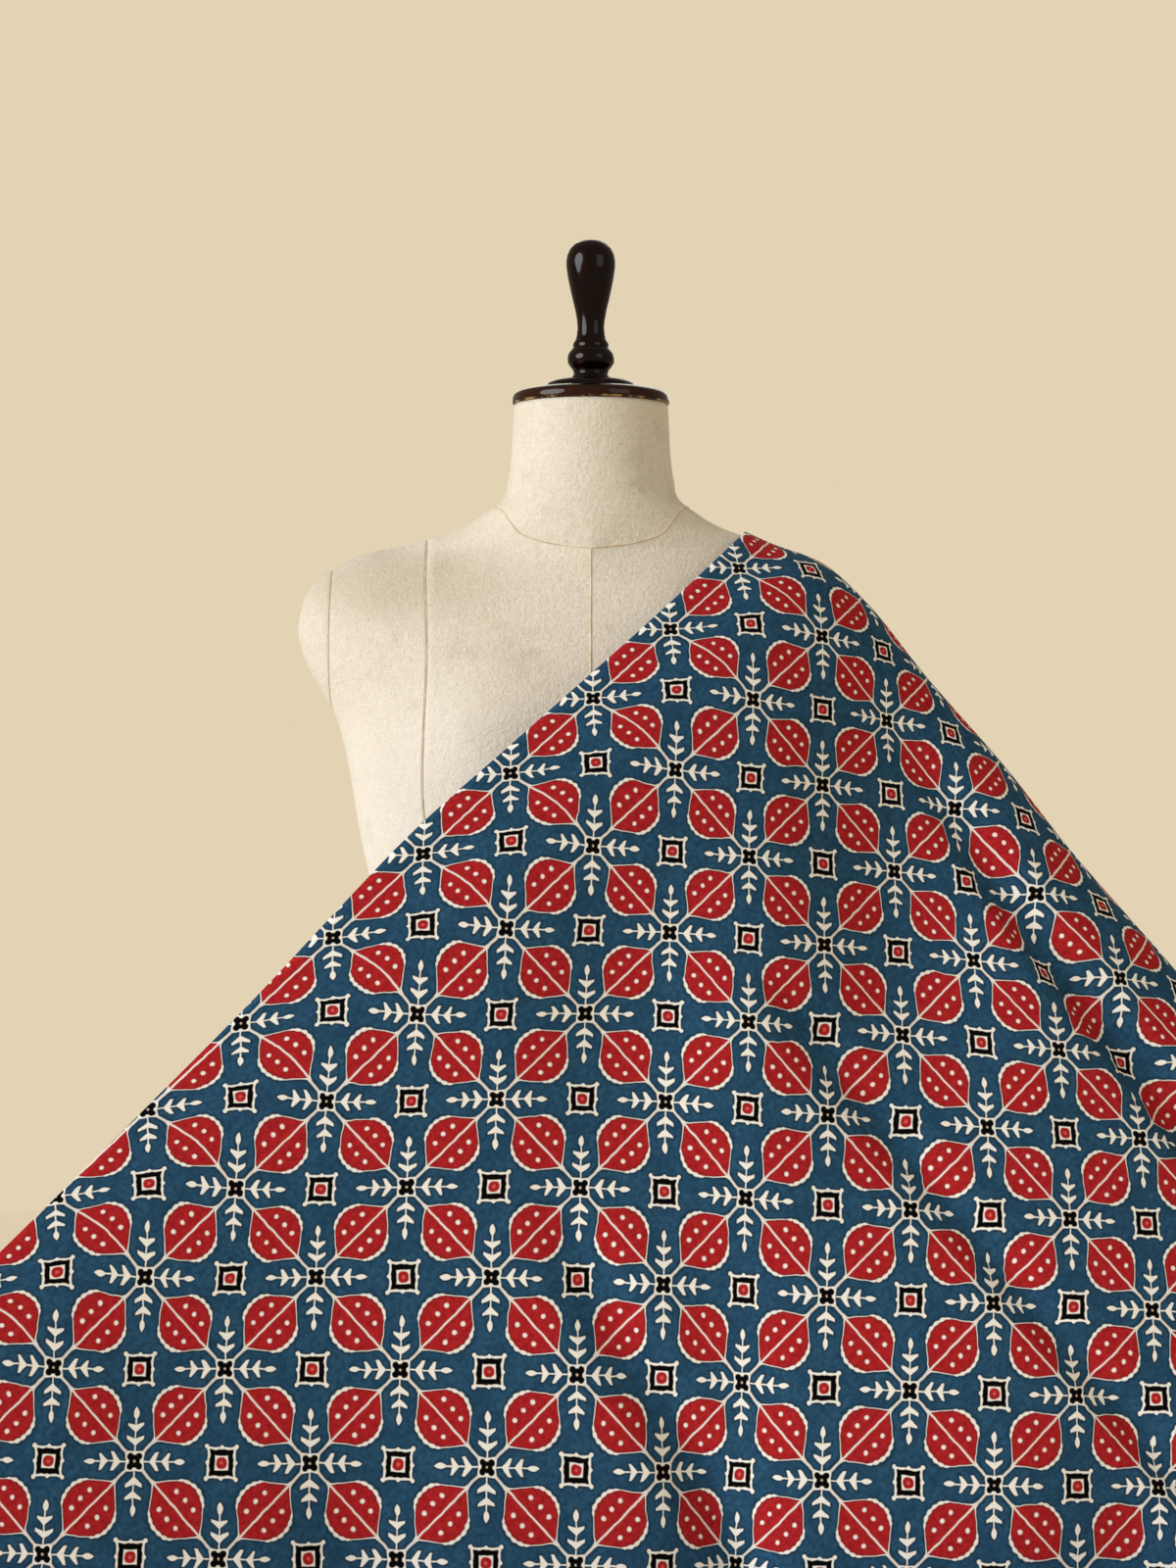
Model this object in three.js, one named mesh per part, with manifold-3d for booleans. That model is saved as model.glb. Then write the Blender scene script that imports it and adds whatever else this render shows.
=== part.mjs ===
// A length of block-printed cotton draped over one shoulder of a dress form.
// Millimetres, +Z up. The viewer stands at -Y, and +X is on the viewer's right.
// The origin is on the floor, under the middle of the form's neck.
import * as THREE from 'three';
import { mergeVertices } from 'three/addons/utils/BufferGeometryUtils.js';
import Module from 'manifold-3d';

const wasm = await Module();
wasm.setup();

// Shared sizes
const FIT_GAP = 0.3;
const FULL_TURN = 2 * Math.PI;

// Cloth sizes
const CLOTH_THICKNESS = 2.4;
const LANDING_HEIGHT = 12;
const LANDING_RUN = 18;
const HEM_ON_FLOOR = 45;
const HEM_TURNS = 3;
const ROWS_ALONG_CREST = 32;
const LINES_PER_SIDE = 26;
const CREST_CROWDING = 1.35;
const LAST_CREST_HEIGHT = 20;
const PROFILE_STEP = 2;
const REACH_PASSES = 4;
const HEM_SPAN = 2;

// The crest is where the cloth turns from the front panel to the back panel.
// v is measured down the crest, and slack is the cloth between the crest and print column 0.
const CREST = [
  { v: -20, x: 104, y: 10, z: 658.5, slack: 60 },
  { v: 0, x: 122, y: 10, z: 650.5, slack: 66 },
  { v: 40, x: 157, y: 9, z: 636.7, slack: 74 },
  { v: 76, x: 184, y: 8, z: 613, slack: 81 },
  { v: 152, x: 228, y: 6, z: 559, slack: 81 },
  { v: 229, x: 276, y: 2, z: 503, slack: 82 },
  { v: 305, x: 322, y: -4, z: 443, slack: 76 },
  { v: 381, x: 372, y: -10, z: 385, slack: 72 },
  { v: 457, x: 421, y: -17, z: 328, slack: 70 },
  { v: 610, x: 521, y: -30, z: 214, slack: 68 },
  { v: 896, x: 710, y: -50, z: 0, slack: 66 },
];

// Each panel runs from the crest down to the left at its lean, in degrees below level.
// steep is how far it turns out of the plane of the picture at the arc s from the crest.
const FRONT_PANEL = withProfile({
  side: 1,
  lean: 42.8,
  turns: [
    { s: 0, steep: 90 },
    { s: 25, steep: 66 },
    { s: 50, steep: 48 },
    { s: 85, steep: 37 },
    { s: 130, steep: 32 },
    { s: 200, steep: 26 },
    { s: 280, steep: 22 },
    { s: 350, steep: 15 },
    { s: 430, steep: 12 },
    { s: 520, steep: 10 },
    { s: 620, steep: 15 },
    { s: 720, steep: 20 },
    { s: 820, steep: 24 },
    { s: 1300, steep: 26 },
  ],
});
const BACK_PANEL = withProfile({
  side: -1,
  lean: 52,
  turns: [
    { s: 0, steep: 90 },
    { s: 20, steep: 64 },
    { s: 45, steep: 44 },
    { s: 80, steep: 34 },
    { s: 130, steep: 27 },
    { s: 200, steep: 20 },
    { s: 300, steep: 13 },
    { s: 500, steep: 9 },
    { s: 700, steep: 12 },
    { s: 1300, steep: 16 },
  ],
});

// The free edge strays a little from the first print row, by the arc s from the crest.
const FREE_EDGE = [
  { s: 0, v: -20 },
  { s: 130, v: -17 },
  { s: 280, v: -18 },
  { s: 360, v: -19 },
  { s: 434, v: -14 },
  { s: 510, v: -8 },
  { s: 660, v: -2 },
  { s: 820, v: 0 },
  { s: 1300, v: 0 },
];

// Troughs down the front panel, beside the crest. s is the arc from the crest at the row
// FOLD_ROW, drift is how fast the trough leaves the crest, and it grows from start to full.
const FOLD_ROW = 300;
const LONG_FOLDS = [
  { s: 97, drift: 0.09, half: 34, depth: 12, start: 90, full: 330 },
  { s: 277, drift: 0.02, half: 34, depth: 6, start: 150, full: 290 },
  { s: 494, drift: 0.2, half: 40, depth: 9, start: 150, full: 310 },
];

// Broad hollows of the front panel
const HOLLOWS = [
  { x: 200, z: 430, wide: 100, tall: 250, depth: 20 },
  { x: 25, z: 340, wide: 85, tall: 180, depth: 9 },
];

// Upright troughs that start under a height and are full at the floor.
// gather is how far each one draws in the cloth on its left.
const UPRIGHT_FOLDS = [
  { side: 1, x: -390, half: 90, depth: 12, top: 200, gather: 0 },
  { side: 1, x: -150, half: 70, depth: 8, top: 170, gather: 2 },
  { side: 1, x: 72, half: 60, depth: 10, top: 330, gather: 12 },
  { side: 1, x: 330, half: 80, depth: 12, top: 180, gather: 0 },
  { side: -1, x: -170, half: 80, depth: 12, top: 330, gather: 0 },
  { side: -1, x: 90, half: 80, depth: 14, top: 400, gather: 0 },
  { side: -1, x: 350, half: 80, depth: 12, top: 260, gather: 0 },
];

// Form sizes
const NECK_TOP = 743;
const ARM_SEAM_X = 174;
const FORM_SIDES = 40;
const SHOULDER_DROP = 19.5;
const DROP_START_X = 106;
const DROP_END_X = 188;
const DROP_FADE_Z = 470;
const DROP_FULL_Z = 560;

// Level sections of the form: half width, reach to the front and to the back, and squareness.
const FORM_SECTIONS = [
  { z: 0, half: 158, front: 92, back: 100, square: 2.2 },
  { z: 55, half: 163, front: 96, back: 108, square: 2.2 },
  { z: 115, half: 165, front: 97, back: 112, square: 2.2 },
  { z: 175, half: 154, front: 93, back: 106, square: 2.2 },
  { z: 240, half: 131, front: 84, back: 90, square: 2.1 },
  { z: 300, half: 118, front: 78, back: 78, square: 2.1 },
  { z: 350, half: 125, front: 79, back: 80, square: 2.1 },
  { z: 400, half: 141, front: 82, back: 88, square: 2.2 },
  { z: 431, half: 150, front: 84, back: 93, square: 2.2 },
  { z: 460, half: 156, front: 86, back: 96, square: 2.2 },
  { z: 490, half: 161, front: 86, back: 98, square: 2.2 },
  { z: 514, half: 166, front: 84, back: 99, square: 2.2 },
  { z: 534, half: 172, front: 81, back: 99, square: 2.2 },
  { z: 551, half: 181, front: 76, back: 98, square: 2.2 },
  { z: 571, half: 192, front: 69, back: 94, square: 2.2 },
  { z: 591, half: 197, front: 62, back: 88, square: 2.1 },
  { z: 606, half: 195, front: 57, back: 82, square: 1.9 },
  { z: 619, half: 190, front: 53, back: 77, square: 1.65 },
  { z: 629, half: 180, front: 51, back: 73, square: 1.45 },
  { z: 637, half: 163, front: 50, back: 69, square: 1.32 },
  { z: 645, half: 138, front: 49, back: 67, square: 1.25 },
  { z: 653, half: 110, front: 49, back: 62, square: 1.4 },
  { z: 661, half: 87.5, front: 49, back: 58, square: 1.6 },
  { z: 671, half: 70.3, front: 49, back: 54, square: 1.9 },
  { z: 681, half: 58.2, front: 49.5, back: 52, square: 2 },
  { z: 690, half: 56.3, front: 49.8, back: 51.5, square: 2 },
  { z: 700, half: 54.5, front: 50, back: 51, square: 2 },
  { z: NECK_TOP, half: 51.8, front: 51, back: 51, square: 2 },
];

// The two rounds of the bust
const BUST = { x: 76, z: 520, spread: 42, rise: 9 };

// Turned wood, as radius and height
const CAP_TOP = 760;
const CAP_SIDES = 40;
const CAP_PROFILE = [
  { r: 0, z: NECK_TOP + FIT_GAP },
  { r: 51.6, z: NECK_TOP + FIT_GAP },
  { r: 52.8, z: 745 },
  { r: 52.8, z: 748.5 },
  { r: 51.4, z: 751 },
  { r: 46, z: 752.6 },
  { r: 31.8, z: 754 },
  { r: 30.4, z: 756 },
  { r: 28.4, z: 758.4 },
  { r: 22, z: CAP_TOP },
  { r: 0, z: CAP_TOP },
];
const FINIAL_SIDES = 24;
const FINIAL_PROFILE = [
  { r: 0, z: CAP_TOP + FIT_GAP },
  { r: 14, z: CAP_TOP + FIT_GAP },
  { r: 13.4, z: 762 },
  { r: 11.6, z: 764.5 },
  { r: 12.4, z: 768 },
  { r: 15.2, z: 771 },
  { r: 15.9, z: 775 },
  { r: 14.6, z: 779.5 },
  { r: 12, z: 782.5 },
  { r: 11.9, z: 785 },
  { r: 10.2, z: 789 },
  { r: 9.1, z: 795 },
  { r: 9.7, z: 801 },
  { r: 12.1, z: 813 },
  { r: 15, z: 826 },
  { r: 16.8, z: 837 },
  { r: 16.1, z: 844.5 },
  { r: 13, z: 850.3 },
  { r: 7.5, z: 853.7 },
  { r: 0, z: 854.7 },
];

// Numbers between the rows of a table
function along(table, key, column, at) {
  const last = table.length - 1;
  const q = THREE.MathUtils.clamp(at, table[0][key], table[last][key]);
  let i = 0;
  while (i < last - 1 && q > table[i + 1][key]) i += 1;
  const slope = (a, b) => (table[b][column] - table[a][column]) / (table[b][key] - table[a][key]);
  const width = table[i + 1][key] - table[i][key];
  const t = (q - table[i][key]) / width;
  const here = slope(i, i + 1);
  const before = i > 0 ? (slope(i - 1, i) + here) / 2 : here;
  const after = i < last - 1 ? (slope(i + 1, i + 2) + here) / 2 : here;
  const cubic = t * t * (3 - 2 * t);
  const start = t * (1 - t) * (1 - t) * width * before;
  const end = t * t * (t - 1) * width * after;
  return THREE.MathUtils.lerp(table[i][column], table[i + 1][column], cubic) + start + end;
}

// A soft hump of height 1 that is 0 outside -1 to 1
function hump(q) {
  return Math.abs(q) < 1 ? (1 + Math.cos(Math.PI * q)) / 2 : 0;
}

// A panel with its shape across the crest: the drop in the picture plane, and the depth,
// at each even step of arc
function withProfile({ side, lean, turns }) {
  const drops = [0];
  const depths = [0];
  const reach = turns[turns.length - 1].s;
  for (let s = PROFILE_STEP; s <= reach; s += PROFILE_STEP) {
    const angle = THREE.MathUtils.degToRad(along(turns, 's', 'steep', s - PROFILE_STEP / 2));
    drops.push(drops[drops.length - 1] + PROFILE_STEP * Math.cos(angle));
    depths.push(depths[depths.length - 1] + PROFILE_STEP * Math.sin(angle));
  }
  return { side, lean: THREE.MathUtils.degToRad(lean), turns, drops, depths };
}

// A value between the even steps of a profile
function sample(values, s) {
  const q = THREE.MathUtils.clamp(s / PROFILE_STEP, 0, values.length - 1);
  const i = Math.min(Math.floor(q), values.length - 2);
  return THREE.MathUtils.lerp(values[i], values[i + 1], q - i);
}

// The arc from the crest to where a panel comes down to the landing height
function arcToLanding(panel, v) {
  const { lean, drops } = panel;
  const fall = along(CREST, 'v', 'z', v) - LANDING_HEIGHT - CLOTH_THICKNESS / 2;
  const drop = fall / Math.sin(lean);
  let i = 0;
  while (i < drops.length - 2 && drops[i + 1] < drop) i += 1;
  return PROFILE_STEP * (i + (drop - drops[i]) / (drops[i + 1] - drops[i]));
}

// How deep the long troughs are at a place in the flat cloth
function longTrough(panel, s, v) {
  if (panel.side < 0) return 0;
  let deep = 0;
  for (const fold of LONG_FOLDS) {
    const middle = fold.s + fold.drift * (v - FOLD_ROW);
    const grown = THREE.MathUtils.smoothstep(v, fold.start, fold.full);
    deep += fold.depth * grown * hump((s - middle) / fold.half);
  }
  return deep;
}

// How far the hollows set the front panel back at a point
function hollowed(panel, x, z) {
  if (panel.side < 0) return 0;
  let back = 0;
  for (const hollow of HOLLOWS) {
    const across = hump((x - hollow.x) / hollow.wide);
    back += hollow.depth * across * hump((z - hollow.z) / hollow.tall);
  }
  return back;
}

// How far the upright troughs set the cloth back at a point of a panel, and draw it in
function uprightShift(panel, x, z) {
  let back = hollowed(panel, x, z);
  let inward = 0;
  for (const fold of UPRIGHT_FOLDS) {
    if (fold.side !== panel.side) continue;
    const grown = 1 - THREE.MathUtils.smoothstep(z, 0, fold.top);
    const leftOf = 1 - THREE.MathUtils.smoothstep(x, fold.x - fold.half, fold.x + fold.half);
    back += fold.depth * grown * hump((x - fold.x) / fold.half);
    inward += fold.gather * grown * leftOf;
  }
  return { back, inward };
}

// A point on the middle of the cloth, from its place in the flat cloth
function clothPoint(panel, s, v) {
  const deep = longTrough(panel, s, v);
  const angle = THREE.MathUtils.degToRad(along(panel.turns, 's', 'steep', s));
  const drop = sample(panel.drops, s) + deep * Math.sin(angle);
  const x = along(CREST, 'v', 'x', v) - drop * Math.cos(panel.lean);
  const z = along(CREST, 'v', 'z', v) - drop * Math.sin(panel.lean);
  const { back, inward } = uprightShift(panel, x, z);
  const out = sample(panel.depths, s) - deep * Math.cos(angle) - back;
  return new THREE.Vector3(x + inward, along(CREST, 'v', 'y', v) - panel.side * out, z);
}

// The last row is where the crest is almost down
function lastRow() {
  let v = CREST[0].v;
  while (along(CREST, 'v', 'z', v) > LAST_CREST_HEIGHT) v += 1;
  return v;
}

// Points of one row of a panel, from the crest to the landing
function panelRow(panel, share, vEnd) {
  const start = FREE_EDGE[0].v;
  const rowAt = (s) => {
    const stray = along(FREE_EDGE, 's', 'v', s) - start;
    return THREE.MathUtils.lerp(start, vEnd, share) + stray * (1 - share);
  };
  let reach = arcToLanding(panel, rowAt(0));
  for (let pass = 0; pass < REACH_PASSES; pass += 1) reach = arcToLanding(panel, rowAt(reach));
  const points = [];
  for (let line = 0; line <= LINES_PER_SIDE; line += 1) {
    const s = reach * (line / LINES_PER_SIDE) ** CREST_CROWDING;
    points.push(clothPoint(panel, s, rowAt(s)));
  }
  return points;
}

// The hanging cloth as a grid, each row from the back landing over the crest to the front
function hangingGrid() {
  const rows = [];
  const vEnd = lastRow();
  for (let k = 0; k <= ROWS_ALONG_CREST; k += 1) {
    const share = k / ROWS_ALONG_CREST;
    const back = panelRow(BACK_PANEL, share, vEnd);
    const front = panelRow(FRONT_PANEL, share, vEnd);
    rows.push([...back.slice(1).reverse(), ...front]);
  }
  return rows;
}

// Directions away from the cloth on the floor, along the row of landing points
function outwardDirections(landing) {
  return landing.map((point, i) => {
    const before = landing[Math.max(i - HEM_SPAN, 0)];
    const after = landing[Math.min(i + HEM_SPAN, landing.length - 1)];
    return new THREE.Vector3(after.y - before.y, before.x - after.x, 0).normalize();
  });
}

// Where the hem lies after a run along the floor from a landing point
function hemPoint(start, outward, run) {
  const left = Math.max(0, 1 - run / LANDING_RUN);
  const floor = CLOTH_THICKNESS / 2;
  const point = start.clone().addScaledVector(outward, run);
  point.z = floor + (start.z - floor) * left * left;
  return point;
}

// Faces between two rows of point numbers
function stitch(faces, rowA, rowB) {
  for (let i = 0; i + 1 < rowA.length; i += 1) {
    faces.push([rowA[i], rowB[i], rowB[i + 1]]);
    faces.push([rowA[i], rowB[i + 1], rowA[i + 1]]);
  }
}

// A sheet with thickness from the points and faces of its middle
function thicken(points, faces, thickness) {
  const normals = points.map(() => new THREE.Vector3());
  for (const [a, b, c] of faces) {
    const ab = points[b].clone().sub(points[a]);
    const ac = points[c].clone().sub(points[a]);
    const normal = ab.cross(ac);
    for (const corner of [a, b, c]) normals[corner].add(normal);
  }
  const count = points.length;
  const lift = (way) => (point, i) =>
    point.clone().addScaledVector(normals[i].clone().normalize(), (way * thickness) / 2);
  const all = [...points.map(lift(1)), ...points.map(lift(-1))];
  const sides = new Set(faces.flatMap(([a, b, c]) => [`${a} ${b}`, `${b} ${c}`, `${c} ${a}`]));
  const solid = [];
  for (const [a, b, c] of faces) {
    solid.push([a, b, c], [a + count, c + count, b + count]);
    for (const [p, q] of [[a, b], [b, c], [c, a]]) {
      if (sides.has(`${q} ${p}`)) continue;
      solid.push([p, p + count, q + count], [p, q + count, q]);
    }
  }
  return toGeometry(all, solid);
}

function toGeometry(points, faces) {
  const geometry = new THREE.BufferGeometry().setFromPoints(points);
  geometry.setIndex(faces.flat());
  geometry.computeVertexNormals();
  return geometry;
}

// The whole cloth: the hanging grid, then the hem that turns out along the floor
function clothGeometry() {
  const grid = hangingGrid();
  const width = grid[0].length;
  const points = grid.flat();
  const faces = [];
  const numbers = grid.map((row, k) => row.map((point, i) => k * width + i));
  for (let k = 0; k + 1 < grid.length; k += 1) stitch(faces, numbers[k], numbers[k + 1]);

  const front = numbers.map((row) => row[width - 1]);
  const back = numbers.map((row) => row[0]).reverse();
  const nose = numbers[numbers.length - 1].slice(1, -1).reverse();
  let ring = [...front, ...nose, ...back];
  const landing = ring.map((number) => points[number]);
  const outward = outwardDirections(landing);
  const runs = [];
  for (let turn = 1; turn <= HEM_TURNS; turn += 1) runs.push((LANDING_RUN * turn) / HEM_TURNS);
  runs.push(LANDING_RUN + HEM_ON_FLOOR / 2, LANDING_RUN + HEM_ON_FLOOR);
  for (const run of runs) {
    const next = landing.map((start, i) => {
      points.push(hemPoint(start, outward[i], run));
      return points.length - 1;
    });
    stitch(faces, next, ring);
    ring = next;
  }
  return thicken(points, faces, CLOTH_THICKNESS);
}

// One level section of the form
function formRing({ z, half, front, back, square }) {
  const points = [];
  for (let i = 0; i < FORM_SIDES; i += 1) {
    const angle = (FULL_TURN * i) / FORM_SIDES;
    const c = Math.cos(angle);
    const s = Math.sin(angle);
    const x = half * Math.sign(c) * Math.abs(c) ** (2 / square);
    const reach = s < 0 ? front : back;
    let y = reach * Math.sign(s) * Math.abs(s) ** (2 / square);
    if (s < 0) y -= bustRise(x, z) * Math.sqrt(-s);
    points.push(new THREE.Vector3(x, y, z - shoulderDrop(x, z)));
  }
  return points;
}

function bustRise(x, z) {
  const away = Math.hypot(Math.abs(x) - BUST.x, z - BUST.z) / BUST.spread;
  return BUST.rise * Math.exp(-away * away);
}

// The shoulder that carries the cloth sits lower than the bare one
function shoulderDrop(x, z) {
  const outward = THREE.MathUtils.smoothstep(x, DROP_START_X, DROP_END_X);
  return SHOULDER_DROP * outward * THREE.MathUtils.smoothstep(z, DROP_FADE_Z, DROP_FULL_Z);
}

// A closed solid through level rings, with flat ends
function loft(rings) {
  const points = rings.flat();
  const size = rings[0].length;
  const faces = [];
  for (let k = 0; k + 1 < rings.length; k += 1) {
    for (let i = 0; i < size; i += 1) {
      const a = k * size + i;
      const b = k * size + ((i + 1) % size);
      faces.push([a, b, b + size], [a, b + size, a + size]);
    }
  }
  const bottom = points.push(new THREE.Vector3(0, 0, rings[0][0].z)) - 1;
  const top = points.push(new THREE.Vector3(0, 0, rings[rings.length - 1][0].z)) - 1;
  const first = (rings.length - 1) * size;
  for (let i = 0; i < size; i += 1) {
    const next = (i + 1) % size;
    faces.push([bottom, next, i], [top, first + i, first + next]);
  }
  return toGeometry(points, faces);
}

function toManifold(geometry) {
  const bare = geometry.clone();
  bare.deleteAttribute('normal');
  bare.deleteAttribute('uv');
  const merged = mergeVertices(bare);
  const vertProperties = new Float32Array(merged.attributes.position.array);
  const triVerts = new Uint32Array(merged.index.array);
  return new wasm.Manifold(new wasm.Mesh({ numProp: 3, vertProperties, triVerts }));
}

function fromManifold(solid) {
  const mesh = solid.getMesh();
  const geometry = new THREE.BufferGeometry();
  geometry.setAttribute('position', new THREE.BufferAttribute(mesh.vertProperties, 3));
  geometry.setIndex(new THREE.BufferAttribute(mesh.triVerts, 1));
  geometry.computeVertexNormals();
  return geometry;
}

// The part of a solid between two upright planes across X
function between(solid, low, high) {
  const beyond = 4 * NECK_TOP;
  const slab = new THREE.BoxGeometry(high - low, beyond, beyond);
  slab.translate((low + high) / 2, 0, 0);
  return fromManifold(solid.intersect(toManifold(slab)));
}

function turned(profile, sides) {
  const outline = profile.map(({ r, z }) => new THREE.Vector2(r, z));
  return new THREE.LatheGeometry(outline, sides).rotateX(Math.PI / 2);
}

// Materials
function finish(color, roughness) {
  return new THREE.MeshStandardMaterial({ color, roughness, metalness: 0 });
}
const cotton = finish(0x264e6e, 0.85);
const canvas = finish(0xe1d7be, 0.9);
const lacqueredWood = finish(0x24100d, 0.2);

function named(name, geometry, material) {
  const mesh = new THREE.Mesh(geometry, material);
  mesh.name = name;
  return mesh;
}

// The form in its canvas pieces
function dressForm() {
  const group = new THREE.Group();
  const whole = toManifold(loft(FORM_SECTIONS.map(formRing)));
  const seam = ARM_SEAM_X;
  const far = 2 * ARM_SEAM_X;
  group.add(named('torso', between(whole, -seam, seam), canvas));
  group.add(named('arm_stump_left', between(whole, -far, -seam - FIT_GAP), canvas));
  group.add(named('arm_stump_right', between(whole, seam + FIT_GAP, far), canvas));
  return group;
}

function woodwork() {
  const group = new THREE.Group();
  group.add(named('neck_cap', turned(CAP_PROFILE, CAP_SIDES), lacqueredWood));
  group.add(named('finial', turned(FINIAL_PROFILE, FINIAL_SIDES), lacqueredWood));
  return group;
}

const part = new THREE.Group();
part.add(named('cloth', clothGeometry(), cotton));
part.add(dressForm());
part.add(woodwork());

export default part;
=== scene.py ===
# The looks of a length of block-printed cotton draped over one shoulder of a dress form.
# Lengths are in millimetres until a mesh is made, and the frame is in metres.
import math

import bmesh
import bpy
import numpy as np
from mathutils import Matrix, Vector


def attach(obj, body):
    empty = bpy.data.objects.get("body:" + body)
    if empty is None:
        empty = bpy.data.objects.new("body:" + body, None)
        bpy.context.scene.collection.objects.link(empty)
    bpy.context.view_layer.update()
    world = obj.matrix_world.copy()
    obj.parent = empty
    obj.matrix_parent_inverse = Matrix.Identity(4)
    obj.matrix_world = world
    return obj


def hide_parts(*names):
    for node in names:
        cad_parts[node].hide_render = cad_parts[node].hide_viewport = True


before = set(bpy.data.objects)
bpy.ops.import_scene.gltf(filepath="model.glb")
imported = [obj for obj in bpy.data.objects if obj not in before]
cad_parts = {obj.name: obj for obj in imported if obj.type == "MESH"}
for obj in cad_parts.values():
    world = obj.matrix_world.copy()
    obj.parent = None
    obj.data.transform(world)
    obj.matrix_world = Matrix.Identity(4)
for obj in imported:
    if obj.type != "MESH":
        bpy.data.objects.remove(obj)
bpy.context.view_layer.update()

MM = 0.001

# Camera, level and face on, as the photograph is taken to be
CAMERA_PLACE = (-2.0, -2100.0, 488.4)
LENS = 71.6
SENSOR = 36.0

# Light, soft and from the viewer's left, with its places in metres
WINDOW_PLACE = (-4.0, -2.3, 1.1)
WINDOW_STRENGTH = 2.6
WINDOW_SPREAD = math.radians(40)
WINDOW_TINT = (0.98, 1.0, 1.04)
SKY_STRENGTH = 0.44
AREA_TINT = (1.0, 0.98, 0.95)

# Area lights: name, place, where it points, side length and power
AREA_LIGHTS = (
    ("fill", (2.4, -2.6, 1.6), (0.1, 0, 0.4), 2.0, 14),
    ("behind", (0.4, 2.4, 2.0), (0, 0, 0.4), 2.2, 20),
)
FLOOR_RADIUS = 1.6
FLOOR_SIDES = 96

# The print repeats on a square block, with a star at each corner. Its start in the flat cloth,
# and where the cotton has given: place, half widths and the move of the print that it makes
BLOCK = 76.2
PRINT_START = (-1.5, 2.0)
PRINT_DRIFTS = (
    ((355, 230), (330, 190), (9, 0)),
    ((225, 60), (250, 120), (0, 3)),
)

# Cloth sizes
CLOTH_THICKNESS = 1.0
FLOOR_LIFT = 0.6
LANDING_HEIGHT = 13.2
LANDING_RUN = 18.0
HEM_ON_FLOOR = 45.0
HEM_TURNS = 6
HEM_RINGS = 4
ROWS_ALONG_CREST = 170
LINES_PER_SIDE = 90
CREST_CROWDING = 1.25
LAST_CREST_HEIGHT = 20.0
PROFILE_STEP = 2.0
LANDING_ROUNDS = 4
RIM_SMOOTHING = 6

# The crest: distance down it, x, y, z, and the cloth between it and column 0 of the print
CREST = np.array([
    (-20, 104, 10, 658.5, 60),
    (0, 122, 10, 650.5, 66),
    (40, 157, 9, 636.7, 74),
    (76, 184, 8, 613, 81),
    (152, 228, 6, 559, 81),
    (229, 276, 2, 503, 82),
    (305, 322, -4, 443, 76),
    (381, 372, -10, 385, 72),
    (457, 421, -17, 328, 70),
    (610, 521, -30, 214, 68),
    (896, 710, -50, 0, 66),
], dtype=float)

# Each panel leans down from the crest. The turns have an arc from the crest and the angle there,
# and the free edge has an arc and how far down the crest the edge is there
FRONT_LEAN, BACK_LEAN = 42.8, 52.0
FRONT_TURNS = np.array([
    (0, 90), (25, 66), (50, 48), (85, 37), (130, 32), (200, 26), (280, 22),
    (350, 15), (430, 12), (520, 10), (620, 15), (720, 20), (820, 24), (1300, 26),
], dtype=float)
BACK_TURNS = np.array([
    (0, 90), (20, 64), (45, 44), (80, 34), (130, 27), (200, 20), (300, 13),
    (500, 9), (700, 12), (1300, 16),
], dtype=float)
FREE_EDGE = np.array([
    (0, -20), (130, -17), (280, -18), (360, -19), (434, -14), (510, -8), (660, -2),
    (820, 0), (1300, 0),
], dtype=float)

# Troughs along the crest: arc from it at FOLD_ROW, drift away from it, half width, depth, and the
# distances down the crest where they start and are full
FOLD_ROW = 300.0
LONG_FOLDS = (
    (97, 0.09, 27, 13.5, 90, 330),
    (277, 0.02, 18, 8, 150, 290),
    (494, 0.2, 27, 10.5, 165, 320),
)

# Hollows of the front panel: x, z, half width, half height and depth
HOLLOWS = (
    (200, 430, 100, 250, 20),
    (25, 340, 85, 180, 9),
)

# Upright troughs: panel, 1 for the front and -1 for the back, x, half width, depth, top, and how
# far each draws the cloth in
UPRIGHT_FOLDS = (
    (1, -390, 90, 12, 200, 0),
    (1, -150, 70, 8, 170, 2),
    (1, 72, 60, 10, 330, 12),
    (1, 330, 80, 12, 180, 0),
    (-1, -170, 80, 12, 330, 0),
    (-1, 90, 80, 14, 400, 0),
    (-1, 350, 80, 12, 260, 0),
)

# Form sizes
NECK_TOP = 743.0
ARM_SEAM_X = 174.0
SEAM_GAP = 0.1
FORM_SIDES = 144
FORM_STEP = 5.0
SHOULDER_BOTTOM, SHOULDER_TOP, SHOULDER_STEP = 600, 680, 2
SHOULDER_DROP = 19.5
DROP_START_X, DROP_END_X = 106.0, 188.0
DROP_FADE_Z, DROP_FULL_Z = 470.0, 560.0
BUST_X, BUST_Z, BUST_SPREAD, BUST_RISE = 76.0, 520.0, 42.0, 9.0

# The padding of the bare shoulder stands a little fuller between its two seams
PADDING_X, PADDING_HALF, PADDING_RISE = -152.0, 34.0, 2.7

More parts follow.
